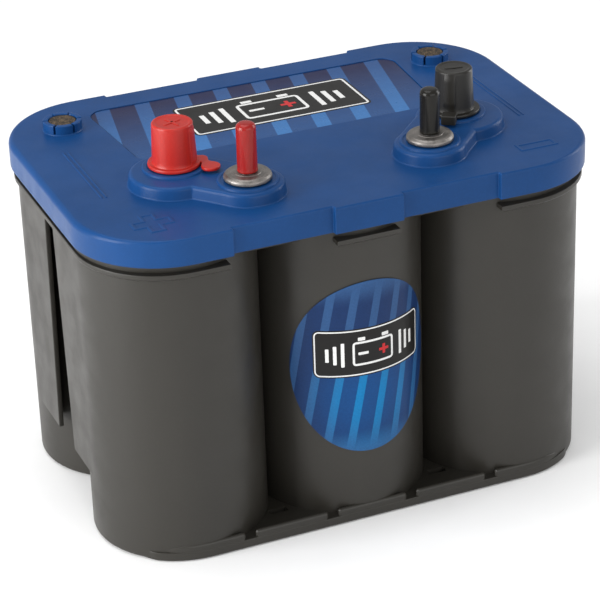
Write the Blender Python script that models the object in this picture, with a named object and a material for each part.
"""Deep cycle battery: six wound cells in a round-walled case under a stepped, welded lid.

Frame: metres, +Z up, +X along the long side, -Y the front, origin at the middle of the base.
"""
import math

import bmesh
import bpy
import mathutils

GAP = 0.0003

# lid
LID_LENGTH = 0.254
LID_WIDTH = 0.175
LID_CORNER = 0.0436
LID_TOP = 0.1674
LID_SKIRT = 0.0131
LID_WALL = 0.0025
LID_PLATE = 0.0030
LID_EDGE_ROUND = 0.0016
STEP_DEPTH = 0.0025
STEP_INNER = 0.0170
STEP_OUTER = 0.0656

# case
CELL_PITCH = 0.0825
CELL_OUTER_R = 0.0421
CELL_INNER_R = 0.0391
CASE_FLOOR = 0.0030
CASE_FOOT_CHAMFER = 0.0016
CASE_SHOULDER = 0.1540
CASE_RIM_TOP = 0.1580
FLANGE_Z = (0.1487, 0.1515)
FLANGE_INSET = 0.0013
FLANGE_INNER = 0.0800
LEDGE_HALF_WIDTH = 0.0841
LEDGE_HALF_LENGTH = 0.0860
LEDGE_TOP = 0.0045
LEDGE_CHAMFER = 0.0008
LIP_TOP = 0.0080
LIP_THICK = 0.0024
WRAP_ANGLE = 35.0
WRAP_OVERLAP = 4.0
WRAP_STEPS = 6
LIP_NOTCH_X = (0.0205, 0.0628)
LIP_NOTCH_WIDTH = 0.0055
DRAIN_X = 0.0420
DRAIN_Y = 0.0660
DRAIN_SIZE = (0.0090, 0.0040)
CORE_HOLE_R = 0.0140
PAD_BOTTOM = 0.0310
PAD_THICK = 0.0025
PAD_SLOT_HALF_TOP = 0.0057
PAD_SLOT_HALF_BOTTOM = 0.0118

# terminals, each side: (tapered post x, y), (threaded stud x, y)
POST_XY = {"positive": (-0.0696, -0.0242), "negative": (0.0725, -0.0244)}
STUD_XY = {"positive": (-0.0450, -0.0535), "negative": (0.0472, -0.0508)}
BOSS_TOP = LID_TOP + 0.0060
BOSS_POST_R = 0.0215
BOSS_STUD_R = 0.0174
BOSS_POST_SHIFT = {"positive": (-0.0015, -0.0036), "negative": (0.0012, -0.0032)}
BOSS_WEB_HALF = 0.0170
BOSS_DRAFT = 0.0006
BOSS_EDGE = 0.0012
BOSS_STAGGER = 0.00008
RING_HEIGHT = 0.0010
RING_POST_R = 0.0150
RING_STUD_R = 0.0142
SHANK_R = 0.0075
SHANK_HOLE_R = 0.0080
SHANK_BOTTOM = 0.1639
POST_HEIGHT = 0.0179
POST_FOOT_R = {"positive": 0.00975, "negative": 0.00895}
POST_HEAD_R = {"positive": 0.00875, "negative": 0.00795}
STUD_BASE_R = 0.0111
STUD_BASE_THICK = 0.0030
STUD_BASE_CHAMFER = 0.0011
STUD_COLLAR_R = 0.0064
STUD_COLLAR_HEIGHT = 0.0002
STUD_R = 0.00397
STUD_TOP = 0.1975
LINK_Z = (0.1606, 0.1636)
LINK_HALF_WIDTH = 0.0050
LINK_END_R = 0.0080

# caps
CAP_HEAD_R = {"positive": 0.00950, "negative": 0.0087}
CAP_FOOT_R = {"positive": 0.0105, "negative": 0.00965}
CAP_TOP = {"positive": 0.1957, "negative": 0.1963}
CAP_WALL = 0.0005
CAP_FLANGE_R = 0.0123
CAP_FLANGE_THICK = 0.0016
SLEEVE_R = 0.0048
SLEEVE_BORE_R = 0.00427
SLEEVE_TOP = {"positive": 0.2016, "negative": 0.1998}

# pull tabs, measured from the post: red (x, y, radius) of the two lobes, black block
TAB_LOBES = ((0.0121, -0.0020, 0.0032), (0.0134, -0.0120, 0.0044))
TAB_NECK_WIDTH = 0.0036
TAB_BLOCK_SIZE = (0.0064, 0.0070, 0.0045)
TAB_BLOCK_REACH = 0.0170
TAB_BLOCK_ANGLE = -124.0
TAB_STEM = (0.0050, 0.0046)

# vents
VENT_XY = (0.0979, 0.0555)
VENT_BOSS_R = 0.0095
VENT_TOP = LID_TOP + 0.0050
VENT_BORE_R = 0.0068
VENT_SHELF = LID_TOP - 0.0010
VENT_HOLE_R = 0.0025
VENT_SLOT_WIDTH = 0.0010
VENT_SLOT_ANGLES = (-12.0, 48.0, 108.0)
DISC_THICK = 0.0029

# labels and lid marks
LABEL_THICK = 0.0003
LABEL_RECESS = 0.0008
TOP_LABEL_Y = (0.0010, 0.0695)
TOP_LABEL_HALF = (0.0770, 0.0820)
TOP_LABEL_CORNER = 0.0080
FRONT_LABEL_HALF = (0.0384, 0.0446)
FRONT_LABEL_Z = 0.0815
MARK_HEIGHT = 0.0005
MARK_XY = (0.0955, -0.0650)
MARK_ARM = 0.0095
MARK_HALF = 0.0036
MARK_LINE = 0.0013
RIDGE_X = (0.1046, 0.1066)
RIDGE_Y = (-0.0300, 0.0270)
RIDGE_WIDTH = 0.0008

# wound cells
PLATE_Z = (0.0060, 0.1500)
SEPARATOR_Z = (0.0045, 0.1500)
WIND_START_R = 0.0042
WIND_LAYER = 0.0037
WIND_THICK = 0.0033
WIND_STEPS_PER_TURN = 10
WIND_STEPS = 22
STRAP_Z = (0.1583, 0.1603)
STRAP_HALF = 0.0050
STRAP_FOOT_HALF = 0.0040
CELL_STRAPS = {"cell_strap_1_2": ((-0.097, -0.022), (-0.097, 0.022)),
               "cell_strap_2_3": ((-0.060, 0.048), (-0.022, 0.048)),
               "cell_strap_3_4": ((0.014, 0.022), (0.014, -0.022)),
               "cell_strap_4_5": ((0.022, -0.062), (0.060, -0.062)),
               "cell_strap_5_6": ((0.097, -0.022), (0.097, 0.022))}
LAST_CELL_TAP = (0.0745, 0.0220)

ROUND = 20
SMALL_ROUND = 16
CELL_ROUND = 40
WELL_ROUND = 28
CORNER_STEPS = 8
LABEL_COLUMNS = 16

for stale in list(bpy.data.objects):
    bpy.data.objects.remove(stale, do_unlink=True)

parts = bpy.data.collections.new("deep_cycle_battery")
cutters = bpy.data.collections.new("cutters")
bpy.context.scene.collection.children.link(parts)
bpy.context.scene.collection.children.link(cutters)


def material(name, color, metallic=0.0, roughness=0.5):
    mat = bpy.data.materials.new(name)
    mat.use_nodes = True
    shader = mat.node_tree.nodes["Principled BSDF"]
    shader.inputs["Base Color"].default_value = (*color, 1.0)
    shader.inputs["Metallic"].default_value = metallic
    shader.inputs["Roughness"].default_value = roughness
    mat.diffuse_color = (*color, 1.0)
    return mat


CASE_PLASTIC = ("case_plastic", (0.075, 0.068, 0.060), 0.0, 0.45)
LID_PLASTIC = ("lid_plastic", (0.028, 0.090, 0.260), 0.0, 0.40)
LABEL_FILM = ("label_film", (0.030, 0.140, 0.350), 0.0, 0.35)
LEAD = ("lead", (0.300, 0.290, 0.270), 0.9, 0.50)
STEEL = ("stainless_steel", (0.550, 0.550, 0.560), 1.0, 0.28)
RED_VINYL = ("red_vinyl", (0.650, 0.020, 0.020), 0.0, 0.30)
BLACK_VINYL = ("black_vinyl", (0.012, 0.012, 0.013), 0.0, 0.35)
SINTERED = ("sintered_disc", (0.180, 0.120, 0.080), 0.0, 0.90)
VALVE_RUBBER = ("valve_rubber", (0.020, 0.020, 0.020), 0.0, 0.70)
POSITIVE_PASTE = ("positive_paste", (0.110, 0.050, 0.030), 0.0, 0.80)
NEGATIVE_PASTE = ("negative_paste", (0.200, 0.200, 0.210), 0.3, 0.70)
GLASS_MAT = ("glass_mat", (0.750, 0.740, 0.700), 0.0, 0.90)


def add(name, bm, look=None, at=(0.0, 0.0, 0.0)):
    """Turn a bmesh into a part (with a look) or a hidden tool body (without)."""
    bmesh.ops.recalc_face_normals(bm, faces=bm.faces)
    mesh = bpy.data.meshes.new(name)
    bm.to_mesh(mesh)
    bm.free()
    obj = bpy.data.objects.new(name, mesh)
    obj.location = at
    if look is None:
        cutters.objects.link(obj)
        obj.hide_render = True
        obj.display_type = "WIRE"
    else:
        parts.objects.link(obj)
        mesh.materials.append(material(name + "_" + look[0], *look[1:]))
    return obj


def combine(target, tool, operation):
    mod = target.modifiers.new(operation.lower() + "_" + tool.name, "BOOLEAN")
    mod.operation = operation
    mod.solver = "EXACT"
    mod.object = tool


def join(target, tool):
    combine(target, tool, "UNION")


def cut(target, tool):
    combine(target, tool, "DIFFERENCE")


def smooth(obj, angle=30.0):
    """Shade round walls smooth and keep the corners sharp."""
    bm = bmesh.new()
    bm.from_mesh(obj.data)
    for face in bm.faces:
        face.smooth = True
    for edge in bm.edges:
        if len(edge.link_faces) == 2 and edge.calc_face_angle() > math.radians(angle):
            edge.smooth = False
    bm.to_mesh(obj.data)
    bm.free()


def prism(outline, low, high):
    """Straight solid standing on a flat outline."""
    bm = bmesh.new()
    face = bm.faces.new([bm.verts.new((x, y, low)) for x, y in outline])
    raised = bmesh.ops.extrude_face_region(bm, geom=[face])["geom"]
    lift = [item for item in raised if isinstance(item, bmesh.types.BMVert)]
    bmesh.ops.translate(bm, verts=lift, vec=(0.0, 0.0, high - low))
    return bm


def bar(profile, start, stop):
    """Straight solid along X with a (y, z) profile."""
    bm = bmesh.new()
    face = bm.faces.new([bm.verts.new((start, y, z)) for y, z in profile])
    raised = bmesh.ops.extrude_face_region(bm, geom=[face])["geom"]
    lift = [item for item in raised if isinstance(item, bmesh.types.BMVert)]
    bmesh.ops.translate(bm, verts=lift, vec=(stop - start, 0.0, 0.0))
    return bm


def lathe(profile, steps=ROUND):
    """Round solid about Z from an (r, z) profile that starts and ends on the axis."""
    bm = bmesh.new()
    ring = [bm.verts.new((r, 0.0, z)) for r, z in profile]
    edges = [bm.edges.new(pair) for pair in zip(ring, ring[1:])]
    bmesh.ops.spin(bm, geom=ring + edges, cent=(0, 0, 0), axis=(0, 0, 1), dvec=(0, 0, 0),
                   angle=math.tau, steps=steps, use_merge=True, use_duplicate=False)
    bmesh.ops.remove_doubles(bm, verts=bm.verts, dist=1e-6)
    return bm


def disc(radius, low, high, steps=ROUND):
    return lathe([(0.0, low), (radius, low), (radius, high), (0.0, high)], steps)


def box(x, y, z):
    """Box spanning the three (low, high) ranges."""
    return prism([(x[0], y[0]), (x[1], y[0]), (x[1], y[1]), (x[0], y[1])], *z)


def turned_box(length, width, z, angle, middle=(0.0, 0.0)):
    """Box about a point in plan, with its length turned to the given angle."""
    along = (math.cos(angle), math.sin(angle))
    corners = []
    for a, b in ((-1, -1), (1, -1), (1, 1), (-1, 1)):
        u = a * length / 2
        v = b * width / 2
        corners.append((middle[0] + along[0] * u - along[1] * v,
                        middle[1] + along[1] * u + along[0] * v))
    return prism(corners, *z)


def rounded(corners, radius, steps=6):
    """Outline of a convex polygon with arcs in place of its corners."""
    points = []
    count = len(corners)
    for i, corner in enumerate(corners):
        here = [corner[0], corner[1]]
        sides = []
        for other in (corners[i - 1], corners[(i + 1) % count]):
            dx = other[0] - here[0]
            dy = other[1] - here[1]
            size = math.hypot(dx, dy)
            sides.append((dx / size, dy / size))
        (ax, ay), (bx, by) = sides
        half = math.acos(ax * bx + ay * by) / 2
        reach = radius / math.tan(half)
        mid = math.hypot(ax + bx, ay + by)
        far = radius / math.sin(half)
        cx = here[0] + (ax + bx) / mid * far
        cy = here[1] + (ay + by) / mid * far
        first = math.atan2(here[1] + ay * reach - cy, here[0] + ax * reach - cx)
        last = math.atan2(here[1] + by * reach - cy, here[0] + bx * reach - cx)
        sweep = (last - first + math.pi) % math.tau - math.pi
        for k in range(steps + 1):
            turn = first + sweep * k / steps
            points.append((cx + radius * math.cos(turn), cy + radius * math.sin(turn)))
    return points


def stepped_outline(inset, recess, steps=CORNER_STEPS):
    """Lid outline: round corners, long sides set in between the cell columns."""
    half_l = LID_LENGTH / 2 - inset
    half_w = LID_WIDTH / 2 - inset
    corner = LID_CORNER - inset
    quadrant = []
    for k in range(steps + 1):
        turn = math.pi / 2 * k / steps
        quadrant.append((half_l - corner + corner * math.cos(turn),
                         half_w - corner + corner * math.sin(turn)))
    quadrant += [(STEP_OUTER, half_w), (STEP_OUTER, recess), (STEP_INNER, recess),
                 (STEP_INNER, half_w)]
    right_back = quadrant
    left_back = [(-x, y) for x, y in reversed(quadrant)]
    left_front = [(-x, -y) for x, y in quadrant]
    right_front = [(x, -y) for x, y in reversed(quadrant)]
    return right_back + left_back + left_front + right_front


def ring_sector(middle, inner, outer, first, last):
    """Outline of part of a flat ring between two angles in degrees."""
    turns = [math.radians(first + (last - first) * k / WRAP_STEPS) for k in range(WRAP_STEPS + 1)]
    points = [(middle[0] + outer * math.cos(t), middle[1] + outer * math.sin(t)) for t in turns]
    points += [(middle[0] + inner * math.cos(t), middle[1] + inner * math.sin(t))
               for t in reversed(turns)]
    return points


def rounded_rectangle(half_l, half_w, corner, steps=CORNER_STEPS):
    corners = [(half_l, half_w), (-half_l, half_w), (-half_l, -half_w), (half_l, -half_w)]
    return rounded(corners, corner, steps)


def cell_centers():
    """Cell middles in the order the current runs through them."""
    left, middle, right = -CELL_PITCH, 0.0, CELL_PITCH
    front, back = -CELL_PITCH / 2, CELL_PITCH / 2
    return [(left, front), (left, back), (middle, back), (middle, front), (right, front),
            (right, back)]


# ---------------------------------------------------------------- case
def shifted(bm, x, y):
    bmesh.ops.translate(bm, verts=bm.verts, vec=(x, y, 0.0))
    return bm


def cell_wall(number, profile):
    """Outer wall of one cell, its facets offset by half a step from its neighbours'."""
    bm = lathe(profile, CELL_ROUND)
    half_step = math.pi / CELL_ROUND * (number % 2)
    turn = mathutils.Matrix.Rotation(half_step, 3, "Z")
    bmesh.ops.rotate(bm, verts=bm.verts, cent=(0.0, 0.0, 0.0), matrix=turn)
    return shifted(bm, *cell_centers()[number])


def build_case():
    well_profile = [(0.0, 0.0), (CELL_OUTER_R - CASE_FOOT_CHAMFER, 0.0),
                    (CELL_OUTER_R, CASE_FOOT_CHAMFER), (CELL_OUTER_R, CASE_SHOULDER),
                    (0.0, CASE_SHOULDER)]
    centers = cell_centers()
    case = add("case", cell_wall(0, well_profile), CASE_PLASTIC)
    smooth(case)
    for i in range(1, len(centers)):
        wall = add(f"cell_wall_{i}", cell_wall(i, well_profile))
        smooth(wall)
        join(case, wall)

    foot = LEDGE_HALF_WIDTH - LEDGE_CHAMFER
    slab = [(-foot, 0.0), (foot, 0.0), (LEDGE_HALF_WIDTH, LEDGE_CHAMFER),
            (LEDGE_HALF_WIDTH, LEDGE_TOP), (-LEDGE_HALF_WIDTH, LEDGE_TOP),
            (-LEDGE_HALF_WIDTH, LEDGE_CHAMFER)]
    join(case, add("ledge", bar(slab, -LEDGE_HALF_LENGTH, LEDGE_HALF_LENGTH)))

    stops = [-LEDGE_HALF_LENGTH]
    for x in (-LIP_NOTCH_X[1], -LIP_NOTCH_X[0], LIP_NOTCH_X[0], LIP_NOTCH_X[1]):
        stops += [x - LIP_NOTCH_WIDTH / 2, x + LIP_NOTCH_WIDTH / 2]
    stops.append(LEDGE_HALF_LENGTH)
    for side in (-1, 1):
        outer = side * LEDGE_HALF_WIDTH
        inner = side * (LEDGE_HALF_WIDTH - LIP_THICK)
        low = LEDGE_TOP - 2 * GAP
        shoulder = LIP_TOP - LIP_THICK / 3
        crown = side * LIP_THICK / 3
        lip = [(outer, low), (outer, shoulder), (outer - crown, LIP_TOP),
               (inner + crown, LIP_TOP), (inner, shoulder), (inner, low)]
        for k in range(0, len(stops), 2):
            join(case, add(f"lip_{side}_{k}", bar(lip, stops[k], stops[k + 1])))

    # the ledge and its lip run on a little way round the corner cells
    wrap_r = LEDGE_HALF_WIDTH - CELL_PITCH / 2 - GAP / 3
    wrap_inner = (CELL_OUTER_R + CELL_INNER_R) / 2
    for side in (-1, 1):
        for end in (-1, 1):
            middle = (end * CELL_PITCH, side * CELL_PITCH / 2)
            first = side * (90.0 + end * WRAP_OVERLAP)
            last = side * (90.0 - end * WRAP_ANGLE)
            wrap = ring_sector(middle, wrap_inner, wrap_r, first, last)
            join(case, add(f"lip_wrap_{side}_{end}",
                           prism(wrap, 2 * GAP, LIP_TOP - LIP_THICK / 3)))

    for side in (-1, 1):
        for end in (-1, 1):
            edge = end * CELL_PITCH / 2
            plate = [(edge, PAD_BOTTOM), (end * PAD_SLOT_HALF_BOTTOM, PAD_BOTTOM),
                     (end * PAD_SLOT_HALF_TOP, FLANGE_Z[0] + GAP), (edge, FLANGE_Z[0] + GAP)]
            reach = CELL_PITCH + CELL_OUTER_R
            x = sorted((side * reach, side * (reach - PAD_THICK)))
            join(case, add(f"end_pad_{side}_{end}", bar(plate, *x)))

    recess = FLANGE_INNER
    join(case, add("flange", prism(stepped_outline(FLANGE_INSET, recess), *FLANGE_Z)))
    collar = rounded_rectangle(LID_LENGTH / 2 - LID_WALL - GAP,
                               LID_WIDTH / 2 - STEP_DEPTH - LID_WALL - GAP,
                               LID_CORNER - LID_WALL - GAP)
    join(case, add("collar", prism(collar, CASE_SHOULDER - 3 * GAP, CASE_RIM_TOP)))

    for i, (x, y) in enumerate(centers):
        bore = disc(CELL_INNER_R, CASE_FLOOR, CASE_RIM_TOP + LID_WALL, WELL_ROUND)
        cut(case, add(f"well_{i}", shifted(bore, x, y)))
    for side in (-1, 1):
        for end in (-1, 1):
            middle = (end * DRAIN_X, side * DRAIN_Y)
            slot = turned_box(*DRAIN_SIZE, (-LEDGE_TOP, 2 * LEDGE_TOP), 0.0, middle)
            cut(case, add(f"drain_{side}_{end}", slot))
    for end in (-1, 1):
        hole = disc(CORE_HOLE_R, -LEDGE_TOP, CASE_SHOULDER - 4 * GAP)
        cut(case, add(f"core_hole_{end}", shifted(hole, end * CELL_PITCH / 2, 0.0)))
    return case


# ---------------------------------------------------------------- lid
def boss_profile(radius, low, high):
    return [(0.0, low), (radius, low), (radius - BOSS_DRAFT, high - BOSS_EDGE),
            (radius - BOSS_DRAFT - BOSS_EDGE, high), (0.0, high)]


def between(first, second):
    """Middle, length and direction of the line between two points in plan."""
    dx = second[0] - first[0]
    dy = second[1] - first[1]
    middle = ((first[0] + second[0]) / 2, (first[1] + second[1]) / 2)
    return middle, math.hypot(dx, dy), math.atan2(dy, dx)


def build_bosses(lid):
    low = LID_TOP - LID_PLATE / 2
    for name in ("positive", "negative"):
        px, py = POST_XY[name]
        sx, sy = STUD_XY[name]
        wide = (px + BOSS_POST_SHIFT[name][0], py + BOSS_POST_SHIFT[name][1])
        join(lid, add(f"{name}_boss_post", lathe(boss_profile(BOSS_POST_R, low, BOSS_TOP)), None,
                      (*wide, 0.0)))
        stud_boss = boss_profile(BOSS_STUD_R, low - GAP, BOSS_TOP - BOSS_STAGGER)
        join(lid, add(f"{name}_boss_stud", lathe(stud_boss), None, (sx, sy, 0.0)))
        middle, length, angle = between((px, py), (sx, sy))
        half = BOSS_WEB_HALF - BOSS_DRAFT
        web_z = (low + GAP, BOSS_TOP - 2 * BOSS_STAGGER)
        web = turned_box(length, 2 * half, web_z, angle, middle)
        join(lid, add(f"{name}_boss_web", web))
        ring_low = BOSS_TOP - RING_HEIGHT
        ring_top = BOSS_TOP + RING_HEIGHT
        for where, radius, x, y in (("post", RING_POST_R, px, py), ("stud", RING_STUD_R, sx, sy)):
            join(lid, add(f"{name}_ring_{where}", disc(radius, ring_low, ring_top), None,
                          (x, y, 0.0)))
            cut(lid, add(f"{name}_hole_{where}", disc(SHANK_HOLE_R, LINK_Z[0], STUD_TOP), None,
                         (x, y, 0.0)))


def build_vent_bosses(lid):
    for side in (-1, 1):
        at = (side * VENT_XY[0], VENT_XY[1], 0.0)
        low = LID_TOP - LID_PLATE / 2
        join(lid, add(f"vent_boss_{side}", lathe(boss_profile(VENT_BOSS_R, low, VENT_TOP)), None,
                      at))
        bore = disc(VENT_BORE_R, VENT_SHELF, VENT_TOP + LID_PLATE, SMALL_ROUND)
        cut(lid, add(f"vent_bore_{side}", bore, None, at))
        hole = disc(VENT_HOLE_R, CASE_RIM_TOP, VENT_TOP, SMALL_ROUND)
        cut(lid, add(f"vent_hole_{side}", hole, None, at))
        for k, turn in enumerate(VENT_SLOT_ANGLES):
            slot = turned_box(3 * VENT_BOSS_R, VENT_SLOT_WIDTH,
                              (LID_TOP + 2 * GAP, VENT_TOP + GAP), math.radians(turn))
            cut(lid, add(f"vent_slot_{side}_{k}", slot, None, at))


def cross_outline(arm, half):
    quarter = [(arm, -half), (arm, half), (half, half)]
    points = []
    for k in range(4):
        c, s = math.cos(math.pi / 2 * k), math.sin(math.pi / 2 * k)
        points += [(c * x - s * y, s * x + c * y) for x, y in quarter]
    return points


def bar_outline(arm, half):
    return [(-arm, -half), (arm, -half), (arm, half), (-arm, half)]


def build_marks(lid):
    """Raised outlines of the polarity signs and the pairs of fine end ridges."""
    low = LID_TOP - MARK_HEIGHT
    high = LID_TOP + MARK_HEIGHT
    for sign, name, outline in ((-1, "plus", cross_outline), (1, "minus", bar_outline)):
        x = sign * MARK_XY[0]
        y = MARK_XY[1]
        outer = [(x + a, y + b) for a, b in outline(MARK_ARM, MARK_HALF)]
        inner = [(x + a, y + b) for a, b in outline(MARK_ARM - MARK_LINE, MARK_HALF - MARK_LINE)]
        frame = add(f"{name}_frame", prism(outer, low, high))
        cut(frame, add(f"{name}_core", prism(inner, low - MARK_HEIGHT, high + MARK_HEIGHT)))
        join(lid, frame)
    for side in (-1, 1):
        for x in RIDGE_X:
            ridge = box(sorted((side * x, side * (x + RIDGE_WIDTH))), RIDGE_Y, (low, high))
            join(lid, add(f"ridge_{side}_{round(x * 10000)}", ridge))


def top_label_outline(inset):
    front = TOP_LABEL_HALF[0] - inset
    back = TOP_LABEL_HALF[1] - inset
    low = TOP_LABEL_Y[0] + inset
    high = TOP_LABEL_Y[1] - inset
    corners = [(-front, low), (front, low), (back, high), (-back, high)]
    return rounded(corners, TOP_LABEL_CORNER - inset)


def build_lid():
    recess = LID_WIDTH / 2 - STEP_DEPTH
    bm = prism(stepped_outline(0.0, recess), LID_TOP - LID_SKIRT, LID_TOP)
    top_edges = []
    for edge in bm.edges:
        if all(vert.co.z > LID_TOP - GAP / 10 for vert in edge.verts):
            top_edges.append(edge)
    bmesh.ops.bevel(bm, geom=top_edges, offset=LID_EDGE_ROUND, segments=2, profile=0.5,
                    affect="EDGES")
    lid = add("lid", bm, LID_PLASTIC)
    hollow = rounded_rectangle(LID_LENGTH / 2 - LID_WALL, recess - LID_WALL,
                               LID_CORNER - LID_WALL)
    cut(lid, add("lid_hollow", prism(hollow, LINK_Z[0] - LID_SKIRT, LID_TOP - LID_PLATE)))
    build_bosses(lid)
    build_vent_bosses(lid)
    build_marks(lid)
    panel = prism(top_label_outline(0.0), LID_TOP - LABEL_RECESS, LID_TOP + LABEL_RECESS)
    cut(lid, add("label_panel", panel))
    return lid


# ---------------------------------------------------------------- labels
def build_labels():
    low = LID_TOP - LABEL_RECESS + GAP
    add("top_label", prism(top_label_outline(GAP), low, low + LABEL_THICK - GAP / 10), LABEL_FILM)

    half_u, half_z = FRONT_LABEL_HALF
    radius = CELL_OUTER_R + GAP
    bm = bmesh.new()
    bmesh.ops.create_grid(bm, x_segments=LABEL_COLUMNS, y_segments=1, size=1.0)
    for vert in bm.verts:
        across = math.sin(math.pi / 2 * vert.co.x)
        tall = vert.co.y * math.sqrt(1.0 - across * across)
        turn = across * half_u / radius
        vert.co = (radius * math.sin(turn), -radius * math.cos(turn), tall * half_z)
    bmesh.ops.remove_doubles(bm, verts=bm.verts, dist=1e-6)
    grown = bmesh.ops.extrude_face_region(bm, geom=bm.faces[:])["geom"]
    spread = (radius + LABEL_THICK) / radius
    for vert in grown:
        if isinstance(vert, bmesh.types.BMVert):
            vert.co = (vert.co.x * spread, vert.co.y * spread, vert.co.z)
    add("front_label", bm, LABEL_FILM, (0.0, -CELL_PITCH / 2, FRONT_LABEL_Z))


# ---------------------------------------------------------------- terminals
def build_terminal(name):
    px, py = POST_XY[name]
    sx, sy = STUD_XY[name]
    seat = BOSS_TOP + RING_HEIGHT + GAP
    foot_r = POST_FOOT_R[name]
    head_r = POST_HEAD_R[name]
    top = seat + POST_HEIGHT
    post = [(0.0, SHANK_BOTTOM), (SHANK_R, SHANK_BOTTOM), (SHANK_R, seat),
            (foot_r, seat), (head_r, top - LEDGE_CHAMFER), (head_r - LEDGE_CHAMFER, top), (0.0, top)]
    smooth(add(f"{name}_post", lathe(post), LEAD, (px, py, 0.0)))

    base_top = seat + STUD_BASE_THICK
    bore = STUD_R + GAP
    base = [(bore, SHANK_BOTTOM), (SHANK_R, SHANK_BOTTOM), (SHANK_R, seat),
            (STUD_BASE_R, seat), (STUD_BASE_R, base_top - STUD_BASE_CHAMFER),
            (STUD_BASE_R - STUD_BASE_CHAMFER, base_top), (STUD_COLLAR_R, base_top),
            (STUD_COLLAR_R, base_top + STUD_COLLAR_HEIGHT),
            (bore, base_top + STUD_COLLAR_HEIGHT), (bore, SHANK_BOTTOM)]
    smooth(add(f"{name}_stud_base", lathe(base), LEAD, (sx, sy, 0.0)))
    stud = [(0.0, SHANK_BOTTOM), (STUD_R, SHANK_BOTTOM), (STUD_R, STUD_TOP - LEDGE_CHAMFER),
            (STUD_R - LEDGE_CHAMFER, STUD_TOP), (0.0, STUD_TOP)]
    smooth(add(f"{name}_stud", lathe(stud, SMALL_ROUND), STEEL, (sx, sy, 0.0)))

    middle, length, angle = between((px, py), (sx, sy))
    bar_z = (LINK_Z[0] + GAP / 2, LINK_Z[1] - GAP / 2)
    link = add(f"{name}_link", turned_box(length, 2 * LINK_HALF_WIDTH, bar_z, angle, middle), LEAD)
    for where, x, y in (("post", px, py), ("stud", sx, sy)):
        pad = disc(LINK_END_R, LINK_Z[0], LINK_Z[1], SMALL_ROUND)
        join(link, add(f"{name}_link_{where}", pad, None, (x, y, 0.0)))


# ---------------------------------------------------------------- caps
def build_post_cap(name, look):
    px, py = POST_XY[name]
    low = BOSS_TOP + RING_HEIGHT + GAP
    high = low + CAP_FLANGE_THICK
    foot_r = CAP_FOOT_R[name]
    head_r = CAP_HEAD_R[name]
    top = CAP_TOP[name]
    roof = top - 2 * CAP_WALL
    profile = [(0.0, roof), (head_r - CAP_WALL, roof), (foot_r - CAP_WALL, low),
               (CAP_FLANGE_R, low), (CAP_FLANGE_R, high), (foot_r, high),
               (head_r, top - CAP_WALL), (head_r - CAP_WALL, top), (0.0, top)]
    cap = add(f"{name}_post_cap", lathe(profile), look, (px, py, 0.0))
    smooth(cap)
    if name == "positive":
        for k, (dx, dy, radius) in enumerate(TAB_LOBES):
            lobe = disc(radius, low, high, SMALL_ROUND)
            join(cap, add(f"{name}_tab_lobe_{k}", lobe, None, (px + dx, py + dy, 0.0)))
        middle, length, angle = between(TAB_LOBES[0][:2], TAB_LOBES[1][:2])
        neck = turned_box(length, TAB_NECK_WIDTH, (low, high), angle, middle)
        join(cap, add(f"{name}_tab_neck", neck, None, (px, py, 0.0)))
    else:
        turn = math.radians(TAB_BLOCK_ANGLE)
        along, across, tall = TAB_BLOCK_SIZE
        middle = (TAB_BLOCK_REACH * math.cos(turn), TAB_BLOCK_REACH * math.sin(turn))
        block = turned_box(along, across, (low, low + tall), turn, middle)
        join(cap, add(f"{name}_tab_block", block, None, (px, py, 0.0)))
        reach = CAP_FLANGE_R
        middle = (reach * math.cos(turn), reach * math.sin(turn))
        stem = turned_box(*TAB_STEM, (low + GAP / 3, high - GAP / 3), turn, middle)
        join(cap, add(f"{name}_tab_stem", stem, None, (px, py, 0.0)))
    # keeps the mouth of the cap open where the tab joins the flange
    mouth = [(0.0, low - CAP_WALL), (foot_r - CAP_WALL, low - CAP_WALL),
             (foot_r - CAP_WALL, low), (head_r - CAP_WALL, roof), (0.0, roof)]
    cut(cap, add(f"{name}_cap_mouth", lathe(mouth), None, (px, py, 0.0)))


def build_stud_cap(name, look):
    sx, sy = STUD_XY[name]
    low = BOSS_TOP + RING_HEIGHT + GAP + STUD_BASE_THICK + STUD_COLLAR_HEIGHT + GAP
    top = SLEEVE_TOP[name]
    roof = top - SLEEVE_R / 4
    dome = [(SLEEVE_R * math.cos(t), top - SLEEVE_R / 2 + SLEEVE_R / 2 * math.sin(t))
            for t in (math.pi / 2 * k / 5 for k in range(5))]
    profile = [(0.0, roof), (SLEEVE_BORE_R, roof), (SLEEVE_BORE_R, low), (SLEEVE_R, low)]
    profile += dome + [(0.0, top)]
    smooth(add(f"{name}_stud_cap", lathe(profile, SMALL_ROUND), look, (sx, sy, 0.0)))


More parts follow.
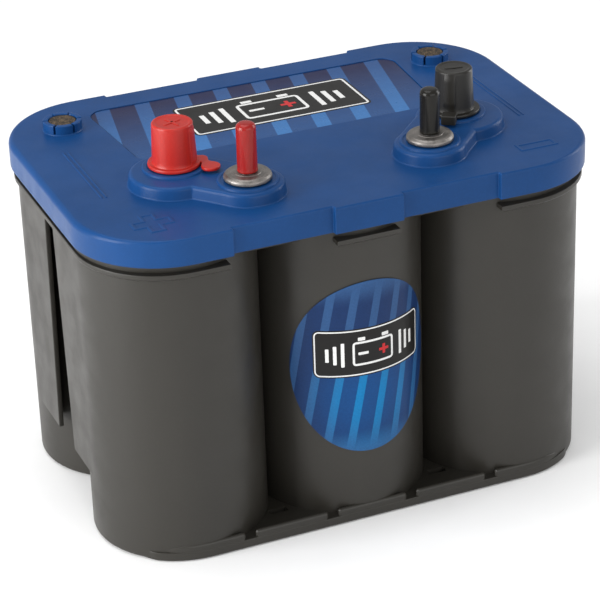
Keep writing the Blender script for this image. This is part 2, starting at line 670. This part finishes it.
# ---------------------------------------------------------------- vents
def build_vents():
    for side, name in ((-1, "left"), (1, "right")):
        at = (side * VENT_XY[0], VENT_XY[1], 0.0)
        radius = VENT_BORE_R - GAP
        top = VENT_TOP - GAP
        smooth(add(f"flame_arrestor_{name}", disc(radius, top - DISC_THICK, top, SMALL_ROUND), SINTERED,
                   at))
        seat = VENT_SHELF + GAP
        stem = VENT_HOLE_R - GAP
        valve = [(0.0, LID_TOP - LID_PLATE - stem), (stem, LID_TOP - LID_PLATE - stem),
                 (stem, seat), (radius, seat), (radius, seat + stem / 4),
                 (stem, seat + stem / 2), (0.0, seat + stem / 2)]
        smooth(add(f"relief_valve_{name}", lathe(valve, SMALL_ROUND), VALVE_RUBBER, at))


# ---------------------------------------------------------------- wound cells
def spiral(start, thick, low, high):
    outer = []
    inner = []
    pitch = 3 * WIND_LAYER
    for k in range(WIND_STEPS + 1):
        turn = math.tau * k / WIND_STEPS_PER_TURN
        radius = start + pitch * k / WIND_STEPS_PER_TURN
        for side, line in ((1, outer), (-1, inner)):
            r = radius + side * thick / 2
            line.append((r * math.cos(turn), r * math.sin(turn)))
    return prism(outer + inner[::-1], low, high)


def build_cells():
    layers = (("positive_plate", PLATE_Z, POSITIVE_PASTE), ("separator", SEPARATOR_Z, GLASS_MAT),
              ("negative_plate", PLATE_Z, NEGATIVE_PASTE))
    for number, (x, y) in enumerate(cell_centers(), start=1):
        for k, (name, z, look) in enumerate(layers):
            start = WIND_START_R + k * WIND_LAYER
            add(f"cell_{number}_{name}", spiral(start, WIND_THICK, *z), look, (x, y, 0.0))


def strap(name, ends, feet):
    """Lead bar over a cell wall with a foot down to the plates at the marked ends."""
    middle, length, angle = between(*ends)
    body = add(name, turned_box(length + 2 * STRAP_HALF, 2 * STRAP_HALF, STRAP_Z, angle, middle),
               LEAD)
    for k, (x, y) in enumerate(ends):
        if k in feet:
            span = STRAP_FOOT_HALF
            foot = box((x - span, x + span), (y - span, y + span),
                       (PLATE_Z[1] + GAP, STRAP_Z[0] + GAP))
            join(body, add(f"{name}_foot_{k}", foot))


def build_straps():
    for name, ends in CELL_STRAPS.items():
        strap(name, ends, (0, 1))
    post = POST_XY["positive"]
    strap("positive_end_strap", (post, (post[0] + STRAP_HALF, post[1])), (0,))
    post = POST_XY["negative"]
    strap("negative_end_strap", (LAST_CELL_TAP, post), (0,))


build_case()
build_lid()
build_labels()
for polarity, cover in (("positive", RED_VINYL), ("negative", BLACK_VINYL)):
    build_terminal(polarity)
    build_post_cap(polarity, cover)
    build_stud_cap(polarity, cover)
build_vents()
build_cells()
build_straps()
